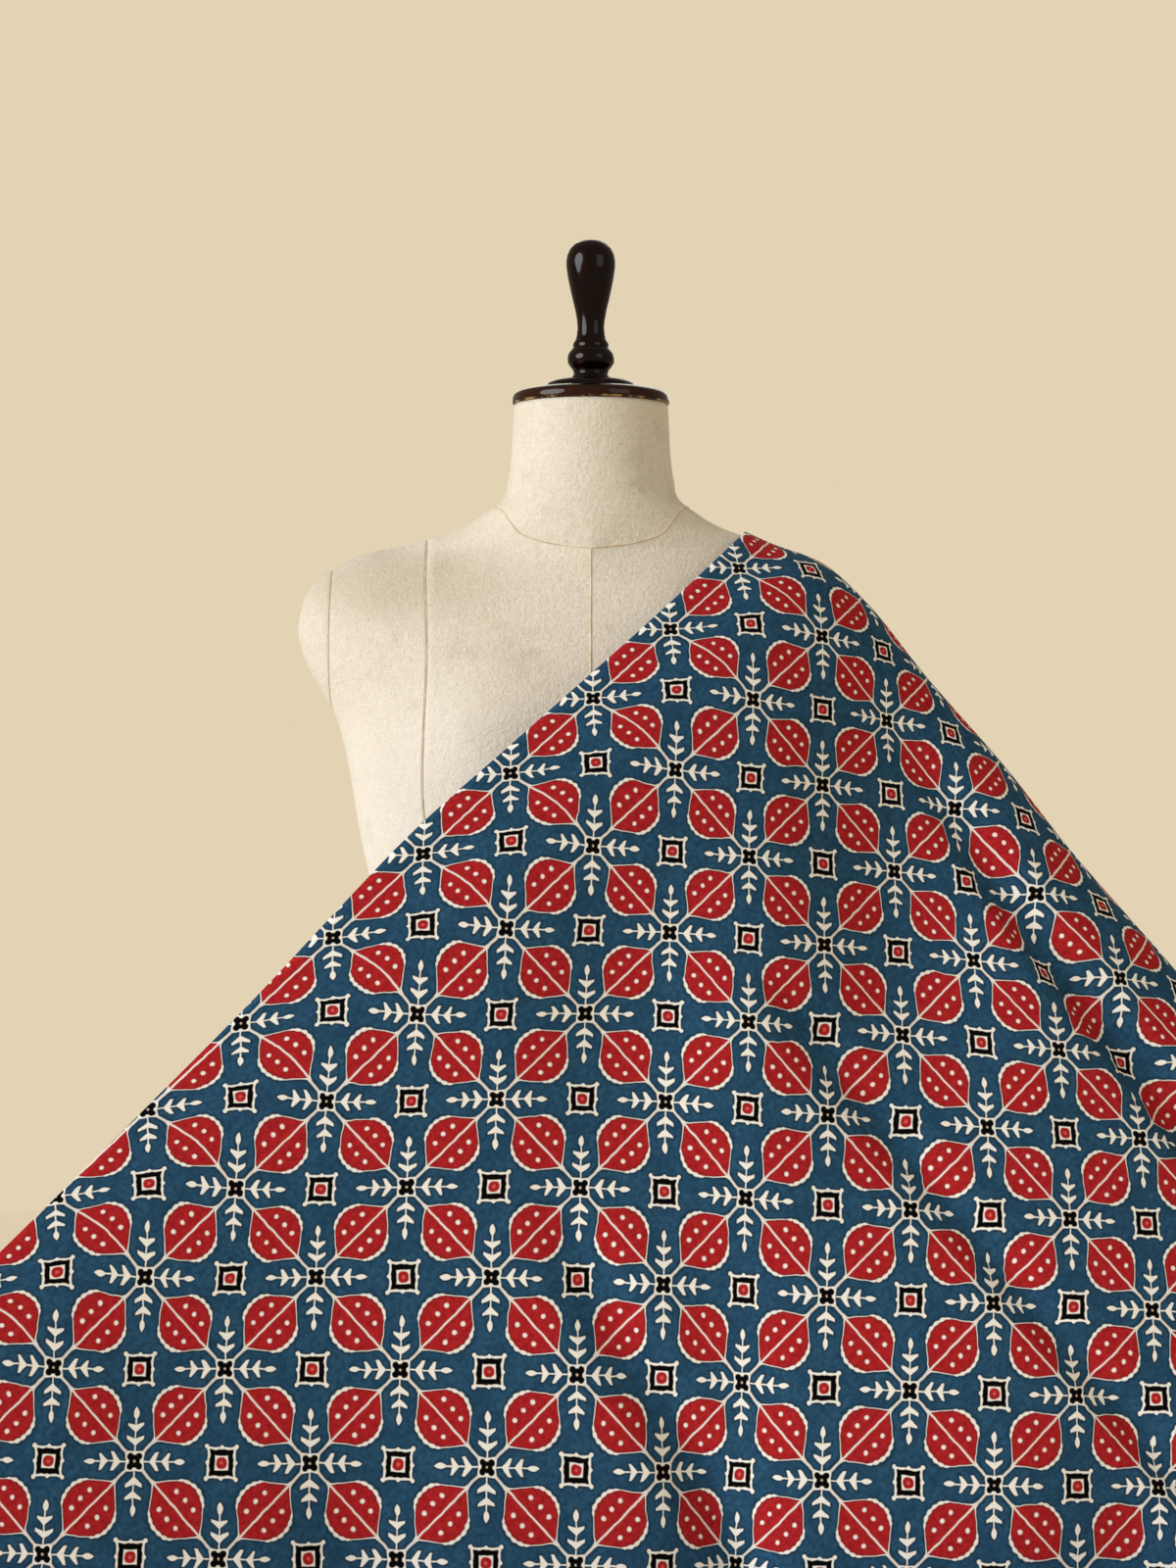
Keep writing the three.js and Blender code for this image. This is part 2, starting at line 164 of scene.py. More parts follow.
# Level sections of the form: height, half width, reach to the front and back, squareness
FORM_SECTIONS = np.array([
    (0, 158, 92, 100, 2.2),
    (55, 163, 96, 108, 2.2),
    (115, 165, 97, 112, 2.2),
    (175, 154, 93, 106, 2.2),
    (240, 131, 84, 90, 2.1),
    (300, 118, 78, 78, 2.1),
    (350, 125, 79, 80, 2.1),
    (400, 141, 82, 88, 2.2),
    (431, 150, 84, 93, 2.2),
    (460, 156, 86, 96, 2.2),
    (490, 161, 86, 98, 2.2),
    (514, 166, 84, 99, 2.2),
    (534, 172, 81, 99, 2.2),
    (551, 181, 76, 98, 2.2),
    (571, 192, 69, 94, 2.2),
    (591, 197, 62, 88, 2.1),
    (606, 195, 57, 82, 1.9),
    (619, 190, 53, 77, 1.65),
    (629, 180, 51, 73, 1.45),
    (637, 163, 50, 69, 1.32),
    (645, 138, 49, 67, 1.25),
    (653, 110, 49, 62, 1.4),
    (661, 87.5, 49, 58, 1.6),
    (671, 70.3, 49, 54, 1.9),
    (681, 58.2, 49.5, 52, 2),
    (690, 56.3, 49.8, 51.5, 2),
    (700, 54.5, 50, 51, 2),
    (NECK_TOP, 51.8, 51, 51, 2),
], dtype=float)

# Seams of the canvas. The princess seams have a height and a distance from the middle, and the
# neck seam has an angle from the front and a height
SEAM_RADIUS = 0.5
SEAM_SIDES = 8
PRINCESS_POINTS, CENTRE_POINTS, NECK_POINTS = 260, 200, 181
STEEP_SEAM = 0.8
PRINCESS_SEAM = np.array([
    (1, 104), (115, 108), (175, 104), (240, 90), (300, 82), (350, 88), (430, 104),
    (480, 109.5), (520, 109), (560, 107.5), (590, 108), (620, 109.5), (652.9, 110),
], dtype=float)
NECK_SEAM = np.array([
    (0, 643.2), (20, 646.5), (32, 652.8), (42, 661), (52, 668), (65, 672), (90, 675),
    (130, 683), (180, 690),
], dtype=float)

# The arm seams are grooves: depth, and the distances from the cut that have an edge
GROOVE_DEPTH = 0.8
GROOVE_EDGES = (3.5, 1.9, 1.0, 0.4)

# Turned wood, as radius and height, from the axis round to the axis again
WOOD_SIDES = 96
CAP_TOP = 760.0
CAP_PROFILE = (
    (0, 743.3), (51.6, 743.3), (52.6, 744), (52.9, 745.2), (52.9, 748), (52.3, 749.8),
    (50.8, 751.2), (46, 752.6), (38, 753.4), (31.8, 754), (30.8, 754.8), (30.5, 756),
    (29.6, 757.6), (27, 759.2), (22, CAP_TOP), (0, CAP_TOP),
)
FINIAL_PROFILE = (
    (0, 760.3), (14, 760.3), (14, 761.2), (12.6, 762.6), (11.6, 764.5), (12.1, 767),
    (14, 769.3), (15.6, 771.8), (15.9, 775), (15.2, 778), (13.4, 780.6), (12, 782),
    (12.3, 783.6), (11.9, 785.2), (10.6, 787), (9.7, 790), (9.1, 795), (9.4, 800),
    (10.6, 807), (12.3, 814), (14, 821.5), (15.6, 829), (16.6, 835.5), (16.8, 839.5),
    (16.2, 844), (14.6, 848), (12, 851.2), (8.4, 853.6), (4.2, 854.5), (0, 854.7),
)


def along(table, column, at):
    """A smooth curve through one column of a table, read at values of its first column."""
    keys, values = table[:, 0], table[:, column]
    q = np.clip(np.asarray(at, dtype=float), keys[0], keys[-1])
    i = np.clip(np.searchsorted(keys, q, side="left") - 1, 0, len(keys) - 2)
    slopes = np.diff(values) / np.diff(keys)
    inner = (slopes[1:] + slopes[:-1]) / 2
    tangents = np.concatenate([slopes[:1], inner, slopes[-1:]])
    width = keys[i + 1] - keys[i]
    t = (q - keys[i]) / width
    cubic = t * t * (3 - 2 * t)
    start = t * (1 - t) ** 2 * width * tangents[i]
    end = t * t * (t - 1) * width * tangents[i + 1]
    return values[i] + (values[i + 1] - values[i]) * cubic + start + end


def smoothstep(x, low, high):
    """0 under low, 1 over high, and soft between."""
    t = np.clip((x - low) / (high - low), 0, 1)
    return t * t * (3 - 2 * t)


def hump(q):
    """1 at 0, and down to 0 at 1 on both sides."""
    return np.where(np.abs(q) < 1, (1 + np.cos(np.pi * np.clip(q, -1, 1))) / 2, 0)


class Panel:
    """One side of the drape, from the crest down to the floor."""

    def __init__(self, side, lean, turns):
        self.side = side
        self.lean = math.radians(lean)
        self.turns = turns
        self.arcs = np.arange(0, turns[-1, 0] + PROFILE_STEP, PROFILE_STEP)
        angles = np.radians(along(turns, 1, self.arcs[1:] - PROFILE_STEP / 2))
        self.drops = np.concatenate([[0], np.cumsum(PROFILE_STEP * np.cos(angles))])
        self.depths = np.concatenate([[0], np.cumsum(PROFILE_STEP * np.sin(angles))])

    def arc_to_landing(self, v):
        """The arc at which each line has come down to the landing height."""
        fall = along(CREST, 3, v) - LANDING_HEIGHT
        return np.interp(fall / math.sin(self.lean), self.drops, self.arcs)

    def long_trough(self, s, v):
        """How deep the troughs beside the crest are, which only the front panel has."""
        deep = np.zeros_like(s)
        if self.side > 0:
            for arc, drift, half, depth, start, full in LONG_FOLDS:
                middle = arc + drift * (v - FOLD_ROW)
                deep += depth * smoothstep(v, start, full) * hump((s - middle) / half)
        return deep

    def upright_shift(self, x, z):
        """How far hollows and upright troughs move the cloth back and to the right."""
        back = np.zeros_like(x)
        inward = np.zeros_like(x)
        if self.side > 0:
            for place, height, wide, tall, depth in HOLLOWS:
                back += depth * hump((x - place) / wide) * hump((z - height) / tall)
        for side, place, half, depth, top, gather in UPRIGHT_FOLDS:
            if side != self.side:
                continue
            grown = 1 - smoothstep(z, 0, top)
            back += depth * grown * hump((x - place) / half)
            inward += gather * grown * (1 - smoothstep(x, place - half, place + half))
        return back, inward

    def points(self, s, v):
        """Places of the cloth at arc s from the crest and distance v down it."""
        deep = self.long_trough(s, v)
        angle = np.radians(along(self.turns, 1, s))
        drop = np.interp(s, self.arcs, self.drops) + deep * np.sin(angle)
        x = along(CREST, 1, v) - drop * math.cos(self.lean)
        z = along(CREST, 3, v) - drop * math.sin(self.lean)
        back, inward = self.upright_shift(x, z)
        out = np.interp(s, self.arcs, self.depths) - deep * np.cos(angle) - back
        y = along(CREST, 2, v) - self.side * out
        return np.stack([x + inward, y, z], axis=-1)

    def rows(self, shares, last):
        """Points and flat places of each row, from the crest to the landing."""
        start = FREE_EDGE[0, 1]

        def row_at(s):
            stray = along(FREE_EDGE, 1, s) - start
            return start + (last - start) * shares[:, None] + stray * (1 - shares[:, None])

        reach = self.arc_to_landing(row_at(np.zeros((len(shares), 1))))
        for _ in range(LANDING_ROUNDS):
            reach = self.arc_to_landing(row_at(reach))
        lines = np.linspace(0, 1, LINES_PER_SIDE + 1)[None, :] ** CREST_CROWDING
        s = reach * lines
        v = row_at(s)
        flat = np.stack([self.side * s - along(CREST, 4, v), v], axis=-1)
        return self.points(s, v), flat


# Meshes
def make_object(name, points, faces):
    mesh = bpy.data.meshes.new(name)
    mesh.from_pydata((np.asarray(points) * MM).tolist(), [], faces)
    mesh.validate()
    mesh.shade_smooth()
    piece = bpy.data.objects.new(name, mesh)
    bpy.context.scene.collection.objects.link(piece)
    return piece


def stitch(row_a, row_b):
    """Four-sided faces between two rows of point numbers."""
    return np.stack([row_a[:-1], row_b[:-1], row_b[1:], row_a[1:]], axis=-1).reshape(-1, 4)


def wrap(rings):
    """Points and faces of rings of points joined in a row and closed at both ends."""
    count, sides = rings.shape[:2]
    numbers = np.arange(count * sides).reshape(count, sides)
    closed = np.concatenate([numbers, numbers[:, :1]], axis=1)
    faces = np.concatenate([stitch(closed[k + 1], closed[k]) for k in range(count - 1)])
    ends = [numbers[0][::-1].tolist(), numbers[-1].tolist()]
    return rings.reshape(-1, 3), faces.tolist() + ends


def vertex_normals(points, quads):
    a, b, c, d = (points[quads[:, k]] for k in range(4))
    face_normals = np.cross(c - a, d - b)
    normals = np.zeros_like(points)
    for k in range(4):
        np.add.at(normals, quads[:, k], face_normals)
    return normals / np.linalg.norm(normals, axis=1, keepdims=True)


def thicken(points, quads, thickness):
    """A closed sheet round the middle surface: its points and faces."""
    normals = vertex_normals(points, quads)
    count = len(points)
    both = np.concatenate([points + normals * thickness / 2, points - normals * thickness / 2])
    edges = np.concatenate([quads[:, [k, (k + 1) % 4]] for k in range(4)])
    known = {tuple(edge) for edge in edges.tolist()}
    rim = [(p, q) for p, q in edges.tolist() if (q, p) not in known]
    faces = quads.tolist() + (quads[:, ::-1] + count).tolist()
    faces += [[q, p, p + count, q + count] for p, q in rim]
    return both, faces


def print_place(flat):
    """Where in the print each place of the flat cloth is, counted in blocks."""
    place = flat + PRINT_START
    for middle, half, move in PRINT_DRIFTS:
        share = hump((flat - middle) / half).prod(axis=1, keepdims=True)
        place = place + share * move
    return place / BLOCK


def set_flat_map(piece, flat):
    """Stores each point's place in the print."""
    layer = piece.data.uv_layers.new(name="flat")
    numbers = np.empty(len(piece.data.loops), dtype=np.int32)
    piece.data.loops.foreach_get("vertex_index", numbers)
    layer.data.foreach_set("uv", print_place(flat)[numbers].astype(np.float32).ravel())


def last_row():
    """How far down the crest the cloth's last row is."""
    v = np.arange(CREST[0, 0], CREST[-1, 0])
    return float(v[np.argmax(along(CREST, 3, v) <= LAST_CREST_HEIGHT)])


def outward(line):
    """Directions square to a line of points, on the side away from the cloth."""
    ahead, behind = [line[:1]] * RIM_SMOOTHING, [line[-1:]] * RIM_SMOOTHING
    padded = np.concatenate(ahead + [line] + behind)
    step = padded[2 * RIM_SMOOTHING:] - padded[:-2 * RIM_SMOOTHING]
    turned = np.stack([step[:, 1], -step[:, 0]], axis=-1)
    return turned / np.linalg.norm(turned, axis=1, keepdims=True)


def turn_out_hem(points, flat, ring):
    """Carries the landing line down to the floor and out along it, in rings."""
    landing, landing_flat = points[ring], flat[ring]
    away, away_flat = outward(landing[:, :2]), outward(landing_flat)
    runs = [LANDING_RUN * (k + 1) / HEM_TURNS for k in range(HEM_TURNS)]
    runs += [LANDING_RUN + HEM_ON_FLOOR * (k + 1) / HEM_RINGS for k in range(HEM_RINGS)]
    floor = CLOTH_THICKNESS / 2 + FLOOR_LIFT
    quads = []
    for run in runs:
        left = max(0.0, 1 - run / LANDING_RUN)
        height = floor + (landing[:, 2] - floor) * left * left
        new = np.concatenate([landing[:, :2] + away * run, height[:, None]], axis=1)
        following = np.arange(len(points), len(points) + len(new))
        points = np.concatenate([points, new])
        flat = np.concatenate([flat, landing_flat + away_flat * run])
        quads.append(stitch(following, ring))
        ring = following
    return points, flat, quads


def cloth_piece():
    """Both panels as one sheet that meets along the crest, with its hem."""
    shares = np.linspace(0, 1, ROWS_ALONG_CREST + 1)
    last = last_row()
    front_points, front_flat = Panel(1, FRONT_LEAN, FRONT_TURNS).rows(shares, last)
    back_points, back_flat = Panel(-1, BACK_LEAN, BACK_TURNS).rows(shares, last)
    points = np.concatenate([back_points[:, :0:-1], front_points], axis=1)
    flat = np.concatenate([back_flat[:, :0:-1], front_flat], axis=1)
    rows, width = points.shape[:2]
    numbers = np.arange(rows * width).reshape(rows, width)
    sheet = [stitch(numbers[k], numbers[k + 1]) for k in range(rows - 1)]
    ring = np.concatenate([numbers[:, -1], numbers[-1, -2:0:-1], numbers[::-1, 0]])
    points, flat, hem = turn_out_hem(points.reshape(-1, 3), flat.reshape(-1, 2), ring)
    solid, faces = thicken(points, np.concatenate(sheet + hem), CLOTH_THICKNESS)
    piece = make_object("printed_cloth", solid, faces)
    set_flat_map(piece, np.concatenate([flat, flat]))
    return piece


# The form
def form_surface(angle, z):
    """Places on the form at angles round the section that starts at height z."""
    half, front, back, square = (along(FORM_SECTIONS, k, z) for k in (1, 2, 3, 4))
    c, s = np.cos(angle), np.sin(angle)
    x = half * np.sign(c) * np.abs(c) ** (2 / square)
    y = np.where(s < 0, front, back) * np.sign(s) * np.abs(s) ** (2 / square)
    away = np.hypot(np.abs(x) - BUST_X, z - BUST_Z) / BUST_SPREAD
    y = y - np.where(s < 0, BUST_RISE * np.exp(-away * away) * np.sqrt(np.maximum(-s, 0)), 0)
    rise = PADDING_RISE * hump((x - PADDING_X) / PADDING_HALF)
    rise = rise - SHOULDER_DROP * smoothstep(x, DROP_START_X, DROP_END_X)
    rise = rise * smoothstep(z, DROP_FADE_Z, DROP_FULL_Z)
    return np.stack(np.broadcast_arrays(x, y, z + rise), axis=-1)


def form_mesh():
    """Points and faces of the whole form, finer at the shoulders."""
    levels = np.arange(0, NECK_TOP, FORM_STEP)
    fine = np.arange(SHOULDER_BOTTOM, SHOULDER_TOP, SHOULDER_STEP)
    heights = np.unique(np.concatenate([levels, fine, [NECK_TOP]]))
    angles = np.linspace(0, 2 * math.pi, FORM_SIDES, endpoint=False)
    return wrap(form_surface(angles[None, :], heights[:, None]))


def press_groove(work, place):
    """Sinks the surface next to an upright plane across X."""
    work.normal_update()
    for vertex in work.verts:
        near = 1 - abs(vertex.co.x / MM - place) / GROOVE_EDGES[0]
        if near > 0:
            level = Vector((0, vertex.normal.y, vertex.normal.z)).normalized()
            vertex.co -= level * GROOVE_DEPTH * near * near * MM


def cut_form(name, low, high):
    """The part of the form between two upright planes across X, with a groove at each cut."""
    piece = make_object(name, *form_mesh())
    work = bmesh.new()
    work.from_mesh(piece.data)
    for place, direction in ((low, -1), (high, 1)):
        if place is None:
            continue
        for inside in GROOVE_EDGES + (0,):
            everything = work.verts[:] + work.edges[:] + work.faces[:]
            cut = bmesh.ops.bisect_plane(
                work, geom=everything, plane_co=((place - direction * inside) * MM, 0, 0),
                plane_no=(direction, 0, 0), clear_outer=inside == 0)
        rim = [item for item in cut["geom_cut"] if isinstance(item, bmesh.types.BMEdge)]
        press_groove(work, place)
        bmesh.ops.holes_fill(work, edges=rim)
    bmesh.ops.recalc_face_normals(work, faces=work.faces)
    work.to_mesh(piece.data)
    work.free()
    piece.data.shade_smooth()
    return piece


def on_form(x, z, side):
    """The place on the form at x on the section that starts at height z."""
    half, square = along(FORM_SECTIONS, 1, z), along(FORM_SECTIONS, 4, z)
    share = np.clip(np.abs(x) / half, 0, 1) ** (square / 2)
    angle = np.arccos(np.sign(x) * share)
    return form_surface(side * angle, z)


def seam_cord(line):
    """Points and faces of a round seam cord along a line of points."""
    ahead = np.gradient(line, axis=0)
    ahead /= np.linalg.norm(ahead, axis=1, keepdims=True)
    guide = np.where(np.abs(ahead[:, 2:]) < STEEP_SEAM, [[0.0, 0.0, 1.0]], [[1.0, 0.0, 0.0]])
    across = np.cross(ahead, guide)
    across /= np.linalg.norm(across, axis=1, keepdims=True)
    down = np.cross(ahead, across)
    turn = np.linspace(0, 2 * math.pi, SEAM_SIDES, endpoint=False)[None, :, None]
    spokes = np.cos(turn) * across[:, None] + np.sin(turn) * down[:, None]
    return wrap(line[:, None] + SEAM_RADIUS * spokes)


def seam_lines():
    """Each seam of the canvas that isn't a groove, as a line of points on the form."""
    lines = []
    z = np.linspace(PRINCESS_SEAM[0, 0], PRINCESS_SEAM[-1, 0], PRINCESS_POINTS)
    for way in (-1, 1):
        x = way * along(PRINCESS_SEAM, 1, z)
        front, back = on_form(x, z, -1), on_form(x, z, 1)
        lines.append(np.concatenate([front[:-1], back[::-1]]))
    for side, top in ((-1, NECK_SEAM[0, 1]), (1, NECK_SEAM[-1, 1])):
        z = np.linspace(PRINCESS_SEAM[0, 0], top, CENTRE_POINTS)
        lines.append(on_form(np.zeros_like(z), z, side))
    from_front = np.linspace(-180, 180, NECK_POINTS)
    height = along(NECK_SEAM, 1, np.abs(from_front))
    lines.append(form_surface(np.radians(from_front - 90), height))
    return lines


def seam_piece():
    """All the seam cords as one piece."""
    points, faces = [], []
    for line in seam_lines():
        start = sum(len(part) for part in points)
        new, around = seam_cord(line)
        points.append(new)
        faces += [[number + start for number in face] for face in around]
    return make_object("form_seams", np.concatenate(points), faces)


def turned_piece(name, profile):
    """A turned solid, flat at both ends, where its profile meets the axis."""
    radii, heights = np.array(profile[1:-1], dtype=float).T[:, :, None]
    angles = np.linspace(0, 2 * math.pi, WOOD_SIDES, endpoint=False)
    places = radii * np.cos(angles), radii * np.sin(angles), heights
    return make_object(name, *wrap(np.stack(np.broadcast_arrays(*places), axis=-1)))


# Node materials: the colour sockets of a Mix node, by number
COLOUR_A, COLOUR_B, COLOUR_RESULT = 6, 7, 2


class Tree:
    """Short names for building a material's nodes."""

    def __init__(self, name):
        self.material = bpy.data.materials.new(name)
        self.material.use_nodes = True
        self.nodes = self.material.node_tree.nodes
        self.links = self.material.node_tree.links
        self.shader = next(n for n in self.nodes if n.type == "BSDF_PRINCIPLED")

    def node(self, kind, **settings):
        made = self.nodes.new(kind)
        for key, value in settings.items():
            setattr(made, key, value)
        return made

    def put(self, value, socket):
        if isinstance(value, Field):
            value = value.socket
        if isinstance(value, bpy.types.NodeSocket):
            self.links.new(value, socket)
        else:
            socket.default_value = value

    def math(self, operation, *values):
        made = self.node("ShaderNodeMath", operation=operation)
        for k, value in enumerate(values):
            self.put(value, made.inputs[k])
        return Field(self, made.outputs[0])

    def mix(self, share, low, high):
        made = self.node("ShaderNodeMix", data_type="RGBA")
        self.put(share, made.inputs["Factor"])
        self.put(low, made.inputs[COLOUR_A])
        self.put(high, made.inputs[COLOUR_B])
        return made.outputs[COLOUR_RESULT]

    def noise(self, vector, scale, detail=2.0, roughness=0.5):
        made = self.node("ShaderNodeTexNoise")
        self.put(vector, made.inputs["Vector"])
        made.inputs["Scale"].default_value = scale
        made.inputs["Detail"].default_value = detail
        made.inputs["Roughness"].default_value = roughness
        return Field(self, made.outputs["Fac"])

    def curve(self, at, shape):
        """A smooth curve through the points of shape, both ways from 0 to 1."""
        made = self.node("ShaderNodeFloatCurve")
        line = made.mapping.curves[0]
        for place, height in shape[1:-1]:
            line.points.new(place, height)
        line.points[0].location = shape[0]
        line.points[-1].location = shape[-1]
        made.mapping.update()
        self.put(at, made.inputs["Value"])
        return Field(self, made.outputs[0])

    def split(self, vector):
        """The three numbers of a vector."""
        parts = self.node("ShaderNodeSeparateXYZ")
        self.put(vector, parts.inputs[0])
        return [Field(self, parts.outputs[k]) for k in range(3)]

    def object_place(self):
        return self.node("ShaderNodeTexCoord").outputs["Object"]

    def place_in_print(self):
        return self.node("ShaderNodeUVMap", uv_map="flat").outputs[0]

    def vector(self, x, y, z=0.0):
        made = self.node("ShaderNodeCombineXYZ")
        for k, value in enumerate((x, y, z)):
            self.put(value, made.inputs[k])
        return made.outputs[0]

    def bump(self, height, strength, depth, normal=None):
        made = self.node("ShaderNodeBump")
        made.inputs["Strength"].default_value = strength
        made.inputs["Distance"].default_value = depth
        self.put(height, made.inputs["Height"])
        if normal is not None:
            self.put(normal, made.inputs["Normal"])
        return made.outputs[0]

    def finish(self, base, roughness, **settings):
        """Joins the colour and roughness to the shader and sets its other sockets."""
        self.put(base, self.shader.inputs["Base Color"])
        self.put(roughness, self.shader.inputs["Roughness"])
        for name, value in settings.items():
            self.put(value, self.shader.inputs[name.replace("_", " ")])
        return self.material


class Field:
    """A number that varies over the surface, with ordinary arithmetic."""

    def __init__(self, tree, socket):
        self.tree = tree
        self.socket = socket

    def __add__(self, other):
        return self.tree.math("ADD", self, other)

    __radd__ = __add__

    def __sub__(self, other):
        return self.tree.math("SUBTRACT", self, other)

    def __rsub__(self, other):
        return self.tree.math("SUBTRACT", other, self)

    def __mul__(self, other):
        return self.tree.math("MULTIPLY", self, other)

    def __truediv__(self, other):
        return self.tree.math("DIVIDE", self, other)

    def abs(self):
        return self.tree.math("ABSOLUTE", self)

    def max(self, other):
        return self.tree.math("MAXIMUM", self, other)

    def min(self, other):
        return self.tree.math("MINIMUM", self, other)

    def sin(self):
        return self.tree.math("SINE", self)

    def root(self):
        return self.tree.math("SQRT", self)

    def step(self, low, high):
        """0 under low, 1 over high, and soft between."""
        made = self.tree.node("ShaderNodeMapRange", interpolation_type="SMOOTHSTEP")
        self.tree.put(self, made.inputs["Value"])
        self.tree.put(low, made.inputs["From Min"])
        self.tree.put(high, made.inputs["From Max"])
        return Field(self.tree, made.outputs["Result"])

    def between(self, rise, fall):
        """1 between two soft edges, and 0 outside them."""
        return self.step(*rise) * (1.0 - self.step(*fall))


def colour(red, green, blue):
    """A screen colour from 0 to 255 as the linear colour that nodes use."""

    def linear(value):
        value /= 255
        return value / 12.92 if value <= 0.04045 else ((value + 0.055) / 1.055) ** 2.4

    return (linear(red), linear(green), linear(blue), 1.0)


# The print, in units of half the upright repeat. Each motif is a field that is over 0 inside it
STRIKE_WOBBLE = 0.022
WOBBLE_SCALE = 9.0
DYE_SOFTNESS = 0.007

# The leaf: its middle, its outline and its red part as shares of their half sizes, its dots as
# places along and off the rib, and the scallops of its edge
LEAF_MIDDLE = 0.5
LEAF_HALF_LENGTH = 0.295
LEAF_HALF_WIDTH = 0.2295
RED_HALF_LENGTH = 0.269
RED_HALF_WIDTH = 0.2165
LEAF_SHAPE = (
    (0, 1), (0.135, 0.99), (0.269, 0.94), (0.421, 0.83), (0.525, 0.672), (0.697, 0.411),
    (0.80, 0.25), (0.864, 0.15), (0.94, 0.055), (1, 0),
)
RED_SHAPE = (
    (0, 1), (0.157, 0.985), (0.314, 0.915), (0.49, 0.79), (0.612, 0.617), (0.812, 0.316),
    (0.92, 0.14), (1, 0),
)
RIB_HALF_WIDTH = 0.0072
DOT_PLACES = ((0.0, 0.101), (0.098, 0.097))
DOT_RADIUS = 0.0178
SCALLOPS_PER_RADIAN = 12.0
SCALLOP_START, SCALLOP_FULL = 0.75, 1.05
SCALLOP_OUT, SCALLOP_IN = 0.009, 0.007

# The star: the stems that run to the leaves, the cream plate and the black flower on it
STEM_HALF_WIDTH = 0.0095
STEM_FLARE, STEM_FLARE_START, STEM_END = 0.2, 0.19, 0.25
PLATE_REACH, PLATE_SLOPE = 0.1, 0.12
PETAL_PLACE, PETAL_RADIUS = 0.05, 0.039
FLOWER_RADIUS, FLOWER_EYE_RADIUS = 0.066, 0.013

# The sprig: its arm and its bud, and its leaves as start, sweep, end, taper and half width
ARM_HALF_WIDTH, ARM_END = 0.0075, 0.5
SPRIG_LEAVES = (
    (0.163, 0.8, 0.24, 0.38, 0.101),
    (0.308, 0.84, 0.388, 0.24, 0.09),
)
BUD_PLACE, BUD_HALF_LENGTH, BUD_HALF_WIDTH = 0.518, 0.069, 0.03

# The box: half sizes of its parts from outside in, its points, corners and knobs
BOX_HALF, BOX_BLACK_HALF, BOX_CREAM_HALF = 0.162, 0.138, 0.077
BOX_POINT_HALF_WIDTH, BOX_POINT_SLOPE = 0.032, 0.75
BOX_FLARE_START, BOX_FLARE_FULL, BOX_FLARE = 0.1, 0.17, 0.012
KNOB_PLACE, KNOB_RADIUS = 0.17, 0.024
BOX_RIPPLE, BOX_RIPPLE_TURNS = 0.004, 60.0
BOX_RED_RADIUS, BOX_RED_CORNERS, BOX_EYE_RADIUS = 0.062, 2.2, 0.02


def distance(x, y):
    return (x * x + y * y).root()


def star_place(tree):
    """Distances from the nearest star along its arms, the longer one first."""
    u, v, _ = tree.split(tree.place_in_print())
    u = u + (tree.noise(tree.vector(u, v), WOBBLE_SCALE) - 0.5) * STRIKE_WOBBLE
    v = v + (tree.noise(tree.vector(v, u, 3.0), WOBBLE_SCALE) - 0.5) * STRIKE_WOBBLE
    across, down = v - u, u + v
    across = (across - tree.math("ROUND", across * 0.5) * 2.0).abs()
    down = (down - tree.math("ROUND", down * 0.5) * 2.0).abs()
    over = (across + down - 1.0).max(0.0)
    across, down = across - over, down - over
    return across.max(down), across.min(down)


def leaf_width(tree, to_middle, shape, length, width):
    return tree.curve((to_middle / length).min(1.0), shape) * width


def leaf_motif(tree, x, y):
    """The cream leaf, its red part, and the rib and dots on it."""
    to_middle, off_rib = (LEAF_MIDDLE - (x + y) * 0.5).abs(), (x - y) * 0.5
    cream = leaf_width(tree, to_middle, LEAF_SHAPE, LEAF_HALF_LENGTH, LEAF_HALF_WIDTH)
    red = leaf_width(tree, to_middle, RED_SHAPE, RED_HALF_LENGTH, RED_HALF_WIDTH)
    angle = tree.math("ARCTAN2", off_rib, to_middle)
    scallop = (angle * SCALLOPS_PER_RADIAN).sin().abs()
    scallop = scallop * angle.step(SCALLOP_START, SCALLOP_FULL)
    marks = RIB_HALF_WIDTH - off_rib
    for near, off in DOT_PLACES:
        marks = marks.max(DOT_RADIUS - distance(to_middle - near, off_rib - off))
    cream = cream + scallop * SCALLOP_OUT - off_rib
    return cream, red - scallop * SCALLOP_IN - off_rib, marks


def star_motif(x, y):
    """The cream of the star, its black flower and the flower's eye."""
    out, off_rib = (x + y) * 0.5, (x - y) * 0.5
    stem = STEM_HALF_WIDTH + (out - STEM_FLARE_START).max(0.0) * STEM_FLARE - off_rib
    plate = PLATE_REACH + y * PLATE_SLOPE - x
    petal = PETAL_RADIUS - distance(x - PETAL_PLACE, y - PETAL_PLACE)
    reach = distance(x, y)
    cream = stem.min(STEM_END - out).max(plate)
    return cream, petal.max(FLOWER_RADIUS - reach), FLOWER_EYE_RADIUS - reach


def sprig_motif(x, y):
    """The cream sprig on each arm of the star."""
    cream = (ARM_HALF_WIDTH - y).min(ARM_END - x)
    for start, sweep, end, taper, half in SPRIG_LEAVES:
        leaf = (x - start - y * sweep).min(end + y * taper - x).min(half - y)
        cream = cream.max(leaf)
    along_bud = (x - BUD_PLACE) / BUD_HALF_LENGTH
    return cream.max((1.0 - along_bud * along_bud) * BUD_HALF_WIDTH - y)


